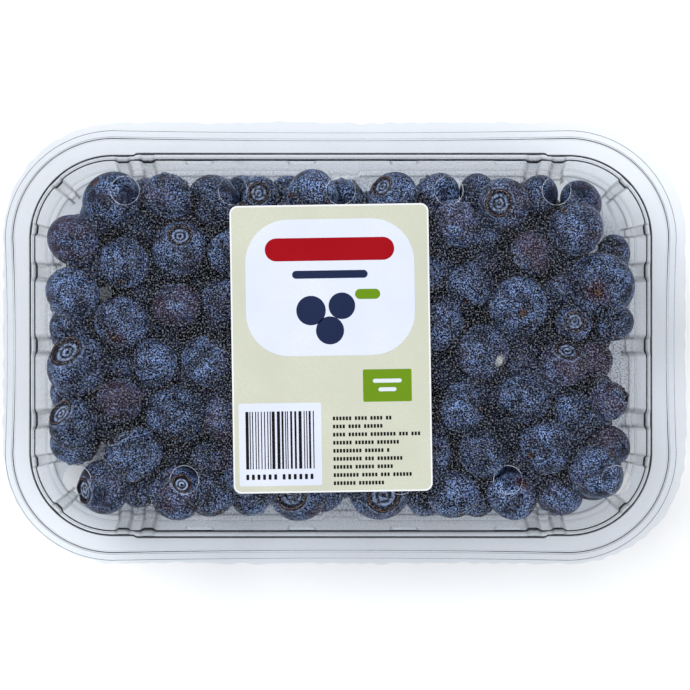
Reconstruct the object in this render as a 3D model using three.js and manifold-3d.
// A punnet of blueberries: a clear tray with a sealing rim, a heap of berries,
// a clear film sealed over it with round vent holes, and a paper label on the film.
// Millimetres. The origin is the middle of the tray's underside, +Z is up,
// X runs along the tray and +Y is the label's upper edge.

import * as THREE from 'three'
import { mergeVertices } from 'three/addons/utils/BufferGeometryUtils.js'
import Module from 'manifold-3d'

// Driving dimensions of the tray
const CORNER_X = 63.2 // middle of each corner's arcs
const CORNER_Y = 29.6
const RIM_HEIGHT = 35 // top of the sealing rim
const WALL = 0.8
const FLOOR_REACH = 18.2 // how far the floor's edge lies outside the corner middles
const CHAMFER_REACH = 19.9 // foot of the wall, above the chamfer round the floor
const CHAMFER_HEIGHT = 2.2
const WALL_REACH = 21.9 // top of the wall
const MOUTH_REACH = 23.1 // inner edge of the sealing rim
const MOUTH_DROP = 1.6 // height of the bevel under the mouth
const RIM_REACH = 28.1 // outer edge of the sealing rim
const LIP_REACH = 30.3 // outer edge of the turned-out lip
const LIP_DROP = 2.8 // how far the lip lies below the rim
const SIDE_BOW = 0.6 // how far the rim's long sides pull in at their middle
const MOUTH_JOG = 0.6 // the mouth is wider along the middle of the long sides
const JOG_X = 57.2

// Ribs pressed into the wall: their places, and half widths at crest and foot
const RIB_DEPTH = 1
const RIB_CREST = 1.5
const RIB_FOOT = 3
const SHORT_RIB_Y = 20.7
const LONG_RIBS_X = [60.6, 53.6]
const LONG_RIB_CREST = 1.2
const LONG_RIB_FOOT = 2.3
const CORNER_RIBS = [7, 45] // degrees round the corner
const CORNER_RIB_CREST = 2.5
const CORNER_RIB_FOOT = 5
const FLOOR_RIB_CREST = 4.4 // a wide shallow rib in the foot of each long wall
const FLOOR_RIB_FOOT = 5.6
const FLOOR_RIB_DEPTH = 1.2

// Lugs under the mouth that keep stacked trays apart, nearer one end on purpose
const LUGS_X = [-39.4, -10.9, 17.6, 46.6]
const LUG_WIDTH = 7.5
const LUG_PROUD = 1.3
const LUG_HEIGHT = 4

// Film and label
const FILM_REACH = 32
const FILM_SHIFT = [1.05, 0.7] // the film was cut a little off the tray's middle
const FILM_THICK = 0.3
const VENT_RADIUS = 4
const VENT_PITCH = 30
const VENT_ROWS = [
  { y: 43.1, firstX: -60, count: 5 },
  { y: -37.4, firstX: -73.5, count: 6 }
]
const LABEL_WIDTH = 55.3
const LABEL_HEIGHT = 80
const LABEL_CORNER = 2.2
const LABEL_MIDDLE = [-2.7, -0.8]
const LABEL_TURN = 0.9 // degrees
const GAP = 0.3 // between pieces that touch

// The heap
const BERRY_FLOOR = 1.2 // lowest and highest that a berry reaches
const BERRY_CEILING = 34.7
const SOFT = 0.955 // middles of shown berries, as a share of their radii
const FILL_SOFT = 0.91
const FILL_TOUCH = 0.87
const FILL_TOP = 21
const HEAP_X = 81.2
const HEAP_Y = 47.6
const HEAP_CORNER = 19
const HEAP_DRAFT = 0.055
const CORE = { x: 76, y: 42.5, bottom: 4.5, top: 25.5, corner: 14, chamfer: 4 }
const BERRY_SQUAT = 0.92 // a berry's height as a share of its width
const UPPER_SIDES = { around: 9, down: 6 }
const LOWER_SIDES = { around: 6, down: 4 }

// The berries that show through the film: x, y and diameter, those on top first
const TOP_BERRIES = [
  [-64, 40.5, 16.5], [-49.5, 42.5, 14.5], [-35.5, 40.5, 15.5], [-74.5, 29.5, 15],
  [-60.5, 23, 14.5], [-45, 27, 16], [-30, 25.5, 14], [-75, 14.5, 15.5],
  [-61, 6.5, 15], [-46, 11, 14], [-32.5, 11.5, 15], [-74, -5.5, 18],
  [-52, -5, 13.5], [-37, -4.5, 15.5], [-61.5, -15.5, 13], [-46.5, -19, 16],
  [-32.5, -21, 13.5], [-74.5, -22, 15], [-58, -30.5, 16.5], [-46.5, -42, 15.5],
  [-66.5, -39.5, 15.5], [-23, 42, 11.5], [-8, 42.5, 15], [15, 42.5, 14.5],
  [-12, -41.5, 16.5], [11, -40, 18], [32.5, 34, 14], [45.5, 39.5, 14.5],
  [65.5, 32.5, 16], [53, 25.5, 13], [36, 17, 13.5], [27, 6.5, 15.5],
  [49.5, 11, 16], [73, 17, 18], [39.5, -2, 16], [62.5, -5, 14],
  [51, -14.5, 15], [33.5, -17.5, 14], [57.5, -28, 15.5], [39.5, -30.5, 14.5],
  [71.5, -35.5, 16], [49, -43, 14]
]
const LOWER_BERRIES = [
  [75, -15.5, 11.5], [25.5, 20.5, 13], [25.5, 1.5, 14], [27, 42, 13],
  [55.5, 42, 12], [32, -42.5, 14.5], [-36.5, -41.5, 14], [-25, -42, 13],
  [-5, -40.5, 13], [-71, 36.5, 14], [-29, 44.5, 11], [-15.5, 43, 12],
  [-76, 4.5, 12.5], [-74.5, -27, 14], [24.5, -44.5, 11], [38.5, 42.5, 11.5],
  [67.5, 40.5, 12.5], [77, 26, 10.5], [65, 6.5, 11], [77.5, 6.5, 11],
  [69.5, -4.5, 13.5], [65, -18, 12], [75.5, -28, 12], [62, -42, 14],
  [39.5, -44, 11], [0.5, 41, 13], [-77, -13, 12], [-56.5, -40, 12]
]

// Materials
const clearPlastic = () => new THREE.MeshStandardMaterial({
  color: 0xdde5ea, roughness: 0.12, metalness: 0, transparent: true, opacity: 0.35
})
const clearFilm = () => new THREE.MeshStandardMaterial({
  color: 0xe9eef5, roughness: 0.08, metalness: 0, transparent: true, opacity: 0.2
})
const paper = () => new THREE.MeshStandardMaterial({
  color: 0xd8dbcb, roughness: 0.55, metalness: 0
})
const bloom = () => new THREE.MeshStandardMaterial({
  color: 0x333a55, roughness: 0.75, metalness: 0
})

// The straight side's own bow, none at its ends and all of it at its middle
const bowAt = (along, end, bow) => bow * (1 - (along / end) ** 2)

// A rib on a straight side, walked from its far foot to its near one
const rib = (middle, crest, foot) => [
  { at: middle + foot, deep: 0 },
  { at: middle + crest, deep: 1 },
  { at: middle - crest, deep: 1 },
  { at: middle - foot, deep: 0 }
]

// A quarter of the tray's outline from the +X axis round to the +Y axis
function quarterOutline({ reach, ribDepth = 0, bow = 0, jog = 0, floorRib = 0 }) {
  const points = []
  const shortSide = [
    { at: 0, deep: 1 },
    { at: RIB_CREST, deep: 1 },
    { at: RIB_FOOT, deep: 0 },
    ...rib(SHORT_RIB_Y, RIB_CREST, RIB_FOOT).reverse()
  ]
  for (const { at, deep } of shortSide) {
    const inset = deep * ribDepth + bowAt(at, CORNER_Y, bow)
    points.push([CORNER_X + reach - inset, at])
  }
  const corner = [{ at: 0, deep: 0 }]
  for (const middle of CORNER_RIBS) {
    corner.push(...rib(middle, CORNER_RIB_CREST, CORNER_RIB_FOOT).reverse())
    corner.push({ at: middle + 19, deep: 0 })
  }
  corner.push({ at: 77, deep: 0 })
  corner.push({ at: 90, deep: 0 })
  for (const { at, deep } of corner) {
    const turn = THREE.MathUtils.degToRad(at)
    const radius = reach - deep * ribDepth
    points.push([CORNER_X + radius * Math.cos(turn), CORNER_Y + radius * Math.sin(turn)])
  }
  const [outerRib, innerRib] = LONG_RIBS_X
  const longSide = [
    ...rib(outerRib, LONG_RIB_CREST, LONG_RIB_FOOT).map(s => ({ ...s, out: 0 })),
    { at: JOG_X + 0.6, deep: 0, out: 0 },
    { at: JOG_X - 0.6, deep: 0, out: 1 },
    ...rib(innerRib, LONG_RIB_CREST, LONG_RIB_FOOT).map(s => ({ ...s, out: 1 })),
    { at: CORNER_X / 2, deep: 0, out: 1 },
    { at: FLOOR_RIB_FOOT, deep: 0, out: 1 },
    { at: FLOOR_RIB_CREST, deep: 0, out: 1, floor: 1 },
    { at: 0, deep: 0, out: 1, floor: 1 }
  ]
  for (const { at, deep, out, floor = 0 } of longSide) {
    const inset = deep * ribDepth + floor * floorRib + bowAt(at, CORNER_X, bow) - out * jog
    points.push([at, CORNER_Y + reach - inset])
  }
  return points
}

// The whole outline: the quarter mirrored into the other three
function outline(level) {
  const quarter = quarterOutline(level)
  const signs = [[1, 1], [-1, 1], [-1, -1], [1, -1]]
  return signs.flatMap(([sx, sy], index) => {
    const walk = index % 2 === 0 ? quarter : [...quarter].reverse()
    return walk.slice(0, -1).map(([x, y]) => [sx * x, sy * y])
  })
}

// A closed body skinned over a stack of rings, flat at both ends
function loft(levels) {
  const rings = levels.map(outline)
  const count = rings[0].length
  const positions = rings.flatMap((ring, i) => ring.flatMap(([x, y]) => [x, y, levels[i].z]))
  const index = []
  for (let r = 0; r < rings.length - 1; r++) {
    for (let i = 0; i < count; i++) {
      const next = (i + 1) % count
      const a = r * count + i
      const b = r * count + next
      index.push(a, a + count, b, b, a + count, b + count)
    }
  }
  const contour = ring => ring.map(([x, y]) => new THREE.Vector2(x, y))
  for (const [a, b, c] of THREE.ShapeUtils.triangulateShape(contour(rings[0]), [])) {
    index.push(a, b, c)
  }
  const last = (rings.length - 1) * count
  for (const [a, b, c] of THREE.ShapeUtils.triangulateShape(contour(rings.at(-1)), [])) {
    index.push(last + c, last + b, last + a)
  }
  const geometry = new THREE.BufferGeometry()
  geometry.setAttribute('position', new THREE.Float32BufferAttribute(positions, 3))
  geometry.setIndex(index)
  return geometry
}

// Closed geometry to an exact solid, and back
const wasm = await Module()
wasm.setup()

function toSolid(geometry) {
  const bare = geometry.clone()
  bare.deleteAttribute('normal')
  bare.deleteAttribute('uv')
  const merged = mergeVertices(bare, 1e-4)
  return new wasm.Manifold(new wasm.Mesh({
    numProp: 3,
    vertProperties: new Float32Array(merged.attributes.position.array),
    triVerts: new Uint32Array(merged.index.array)
  }))
}

function toGeometry(solid) {
  const { vertProperties, triVerts } = solid.getMesh()
  const geometry = new THREE.BufferGeometry()
  geometry.setAttribute('position', new THREE.Float32BufferAttribute(vertProperties, 3))
  geometry.setIndex(Array.from(triVerts))
  return geometry
}

// The tray: up the inside from the floor, over the rim and lip, and down the outside
function trayGeometry() {
  const wallTop = RIM_HEIGHT - MOUTH_DROP
  const lipTop = RIM_HEIGHT - LIP_DROP
  const inside = [
    { z: WALL, reach: FLOOR_REACH, ribDepth: RIB_DEPTH, floorRib: FLOOR_RIB_DEPTH },
    { z: CHAMFER_HEIGHT, reach: CHAMFER_REACH, ribDepth: RIB_DEPTH, floorRib: FLOOR_RIB_DEPTH },
    { z: wallTop, reach: WALL_REACH, ribDepth: RIB_DEPTH * 0.7 },
    { z: RIM_HEIGHT, reach: MOUTH_REACH, jog: MOUTH_JOG },
    { z: RIM_HEIGHT, reach: RIM_REACH, bow: SIDE_BOW },
    { z: lipTop, reach: RIM_REACH + 0.3, bow: SIDE_BOW },
    { z: lipTop, reach: LIP_REACH, bow: SIDE_BOW }
  ]
  const outside = [
    { z: lipTop - WALL, reach: LIP_REACH, bow: SIDE_BOW },
    { z: lipTop - WALL, reach: RIM_REACH - WALL, bow: SIDE_BOW },
    { z: RIM_HEIGHT - WALL, reach: RIM_REACH - WALL, bow: SIDE_BOW },
    { z: RIM_HEIGHT - WALL, reach: MOUTH_REACH + WALL * 0.6, jog: MOUTH_JOG },
    { z: wallTop - WALL, reach: WALL_REACH + WALL, ribDepth: RIB_DEPTH * 0.7 },
    { z: CHAMFER_HEIGHT - 0.3, reach: CHAMFER_REACH + WALL, ribDepth: RIB_DEPTH,
      floorRib: FLOOR_RIB_DEPTH },
    { z: 0, reach: FLOOR_REACH + WALL * 0.4, ribDepth: RIB_DEPTH, floorRib: FLOOR_RIB_DEPTH }
  ]
  let tray = toSolid(loft([...inside, ...outside]))
  for (const x of LUGS_X) {
    for (const side of [1, -1]) {
      tray = tray.add(toSolid(lugGeometry(x, side)))
    }
  }
  return toGeometry(tray)
}

// A lug: a flat top just under the mouth, and a slope that runs back into the wall
function lugGeometry(x, side) {
  const top = RIM_HEIGHT - MOUTH_DROP - 0.6
  const wallY = CORNER_Y + WALL_REACH
  const section = new THREE.Shape()
  section.moveTo(wallY - LUG_PROUD, top)
  section.lineTo(wallY - LUG_PROUD, top - 1)
  section.lineTo(wallY + WALL / 4, top - LUG_HEIGHT)
  section.lineTo(wallY + WALL / 2, top)
  const geometry = new THREE.ExtrudeGeometry(section, { depth: LUG_WIDTH, bevelEnabled: false })
  // drawn as width out from the middle and height; stood up along X
  geometry.rotateY(Math.PI / 2)
  geometry.rotateX(Math.PI / 2)
  if (side < 0) geometry.rotateZ(Math.PI)
  geometry.translate(x - side * LUG_WIDTH / 2, 0, 0)
  return geometry
}

// A flat rounded rectangle
function roundedRectangle(halfX, halfY, corner) {
  const shape = new THREE.Shape()
  shape.moveTo(halfX, -halfY + corner)
  shape.absarc(halfX - corner, halfY - corner, corner, 0, Math.PI / 2)
  shape.absarc(-halfX + corner, halfY - corner, corner, Math.PI / 2, Math.PI)
  shape.absarc(-halfX + corner, -halfY + corner, corner, Math.PI, Math.PI * 1.5)
  shape.absarc(halfX - corner, -halfY + corner, corner, -Math.PI / 2, 0)
  return shape
}

function filmGeometry() {
  const shape = roundedRectangle(CORNER_X + FILM_REACH, CORNER_Y + FILM_REACH, FILM_REACH)
  for (const { y, firstX, count } of VENT_ROWS) {
    for (let i = 0; i < count; i++) {
      const vent = new THREE.Path()
      vent.absarc(firstX + i * VENT_PITCH - FILM_SHIFT[0], y - FILM_SHIFT[1], VENT_RADIUS,
        0, Math.PI * 2, true)
      shape.holes.push(vent)
    }
  }
  return new THREE.ExtrudeGeometry(shape, {
    depth: FILM_THICK, bevelEnabled: false, curveSegments: 7
  })
}

function labelGeometry() {
  const shape = roundedRectangle(LABEL_WIDTH / 2, LABEL_HEIGHT / 2, LABEL_CORNER)
  return new THREE.ExtrudeGeometry(shape, {
    depth: FILM_THICK, bevelEnabled: false, curveSegments: 3
  })
}

// A small generator of even draws, the same each run
function seededDraw(seed) {
  let value = seed
  return (low, high) => {
    value = (value * 16807) % 2147483647
    return low + (high - low) * (value / 2147483647)
  }
}

// Whether a berry's middle at this height keeps the berry inside the walls
function isInside(x, y, radius, height) {
  const spread = HEAP_DRAFT * height
  const reachX = HEAP_X + spread - radius
  const reachY = HEAP_Y + spread - radius
  const corner = Math.max(HEAP_CORNER - radius, 1)
  const overX = Math.abs(x) - (reachX - corner)
  const overY = Math.abs(y) - (reachY - corner)
  if (Math.abs(x) > reachX || Math.abs(y) > reachY) return false
  return !(overX > 0 && overY > 0 && overX * overX + overY * overY > corner * corner)
}

// Each shown berry hangs as high as the film and the berries over it allow
function shownBerries(draw) {
  const heap = []
  const rows = [...TOP_BERRIES, ...LOWER_BERRIES]
  rows.forEach(([x, y, diameter], index) => {
    const radius = diameter / 2
    const sink = index < TOP_BERRIES.length ? draw(0, 2.2) : draw(1, 3)
    let z = BERRY_CEILING - radius - sink
    for (const other of heap) {
      const dx = x - other.x
      const dy = y - other.y
      const flat = dx * dx + dy * dy
      const reach = (radius + other.radius) * SOFT
      if (flat < reach * reach) z = Math.min(z, other.z - Math.sqrt(reach * reach - flat))
    }
    z = Math.max(z, BERRY_FLOOR + radius)
    let share = 1
    while (!isInside(x * share, y * share, radius, z) && share > 0.8) share -= 0.002
    heap.push({ x: x * share, y: y * share, z, radius })
  })
  return heap
}

function tooNear(x, y, z, radius, others, touch) {
  return others.some(other => {
    const dx = x - other.x
    const dy = y - other.y
    const dz = z - other.z
    const reach = (radius + other.radius) * touch
    return dx * dx + dy * dy + dz * dz < reach * reach
  })
}

// More of the same under the label, then berries settled from the floor up into what room is left
function heapOfBerries() {
  const draw = seededDraw(4)
  const upper = shownBerries(draw)
  for (let tries = 0; tries < 3000; tries++) {
    const x = draw(-27, 24)
    const y = draw(-36, 38)
    const radius = draw(6.2, 7.9)
    const z = BERRY_CEILING - radius - draw(0.5, 3)
    if (!tooNear(x, y, z, radius, upper, SOFT)) upper.push({ x, y, z, radius })
  }
  const fill = []
  let misses = 0
  while (misses < 25) {
    let best = null
    for (let tries = 0; tries < 160; tries++) {
      const radius = draw(5.5, 7.6)
      const x = draw(radius - HEAP_X, HEAP_X - radius)
      const y = draw(radius - HEAP_Y, HEAP_Y - radius)
      let z = BERRY_FLOOR + radius
      for (const other of fill) {
        const dx = x - other.x
        const dy = y - other.y
        const flat = dx * dx + dy * dy
        const reach = (radius + other.radius) * FILL_SOFT
        if (flat < reach * reach) z = Math.max(z, other.z + Math.sqrt(reach * reach - flat))
      }
      if (z > FILL_TOP || !isInside(x, y, radius, z - BERRY_FLOOR)) continue
      if (tooNear(x, y, z, radius, upper, FILL_TOUCH)) continue
      if (best === null || z - radius < best.z - best.radius) best = { x, y, z, radius }
    }
    if (best === null) misses++
    else fill.push(best)
  }
  return [...upper, ...fill]
}

// The heap's solid: a plain core with every berry that stands out of it fused on
function coreGeometry() {
  const { x, y, bottom, top, corner, chamfer } = CORE
  const shape = roundedRectangle(x - chamfer, y - chamfer, corner - chamfer)
  const geometry = new THREE.ExtrudeGeometry(shape, {
    depth: top - bottom - 2 * chamfer,
    bevelThickness: chamfer,
    bevelSize: chamfer,
    bevelSegments: 1,
    curveSegments: 3
  })
  geometry.translate(0, 0, bottom + chamfer)
  return geometry
}

function isHidden({ x, y, z, radius }) {
  return Math.abs(x) + radius < CORE.x - CORE.chamfer &&
    Math.abs(y) + radius < CORE.y - CORE.chamfer &&
    z - radius > CORE.bottom && z + radius < CORE.top
}

function berryGeometry({ x, y, z, radius }) {
  const { around, down } = z > FILL_TOP ? UPPER_SIDES : LOWER_SIDES
  const geometry = new THREE.SphereGeometry(radius, around, down)
  geometry.rotateX(Math.PI / 2)
  geometry.rotateZ(x + y)
  geometry.scale(1, 1, BERRY_SQUAT)
  geometry.translate(x, y, z)
  return geometry
}

// Keeps the outermost shell only, so that no pocket is left sealed inside
function outerShell(geometry) {
  const index = geometry.index.array
  const parent = Array.from({ length: geometry.attributes.position.count }, (_, i) => i)
  const find = i => {
    while (parent[i] !== i) {
      parent[i] = parent[parent[i]]
      i = parent[i]
    }
    return i
  }
  for (let t = 0; t < index.length; t += 3) {
    parent[find(index[t])] = find(index[t + 1])
    parent[find(index[t + 1])] = find(index[t + 2])
  }
  const sizes = new Map()
  for (let t = 0; t < index.length; t += 3) {
    const root = find(index[t])
    sizes.set(root, (sizes.get(root) ?? 0) + 1)
  }
  const largest = [...sizes].sort((a, b) => b[1] - a[1])[0][0]
  const kept = []
  for (let t = 0; t < index.length; t += 3) {
    if (find(index[t]) === largest) kept.push(index[t], index[t + 1], index[t + 2])
  }
  geometry.setIndex(kept)
  return geometry
}

function berriesGeometry() {
  let solid = toSolid(coreGeometry())
  for (const berry of heapOfBerries()) {
    if (!isHidden(berry)) solid = solid.add(toSolid(berryGeometry(berry)))
  }
  return outerShell(toGeometry(solid))
}

function named(name, geometry, material) {
  const mesh = new THREE.Mesh(geometry, material)
  mesh.name = name
  return mesh
}

const tray = named('tray', trayGeometry(), clearPlastic())
const berries = named('berries', berriesGeometry(), bloom())
const film = named('lid_film', filmGeometry(), clearFilm())
film.position.set(FILM_SHIFT[0], FILM_SHIFT[1], RIM_HEIGHT + GAP)
const label = named('label', labelGeometry(), paper())
label.position.set(LABEL_MIDDLE[0], LABEL_MIDDLE[1], RIM_HEIGHT + GAP + FILM_THICK + GAP)
label.rotation.z = THREE.MathUtils.degToRad(LABEL_TURN)

const punnet = new THREE.Group()
punnet.add(tray, berries, film, label)

export default punnet
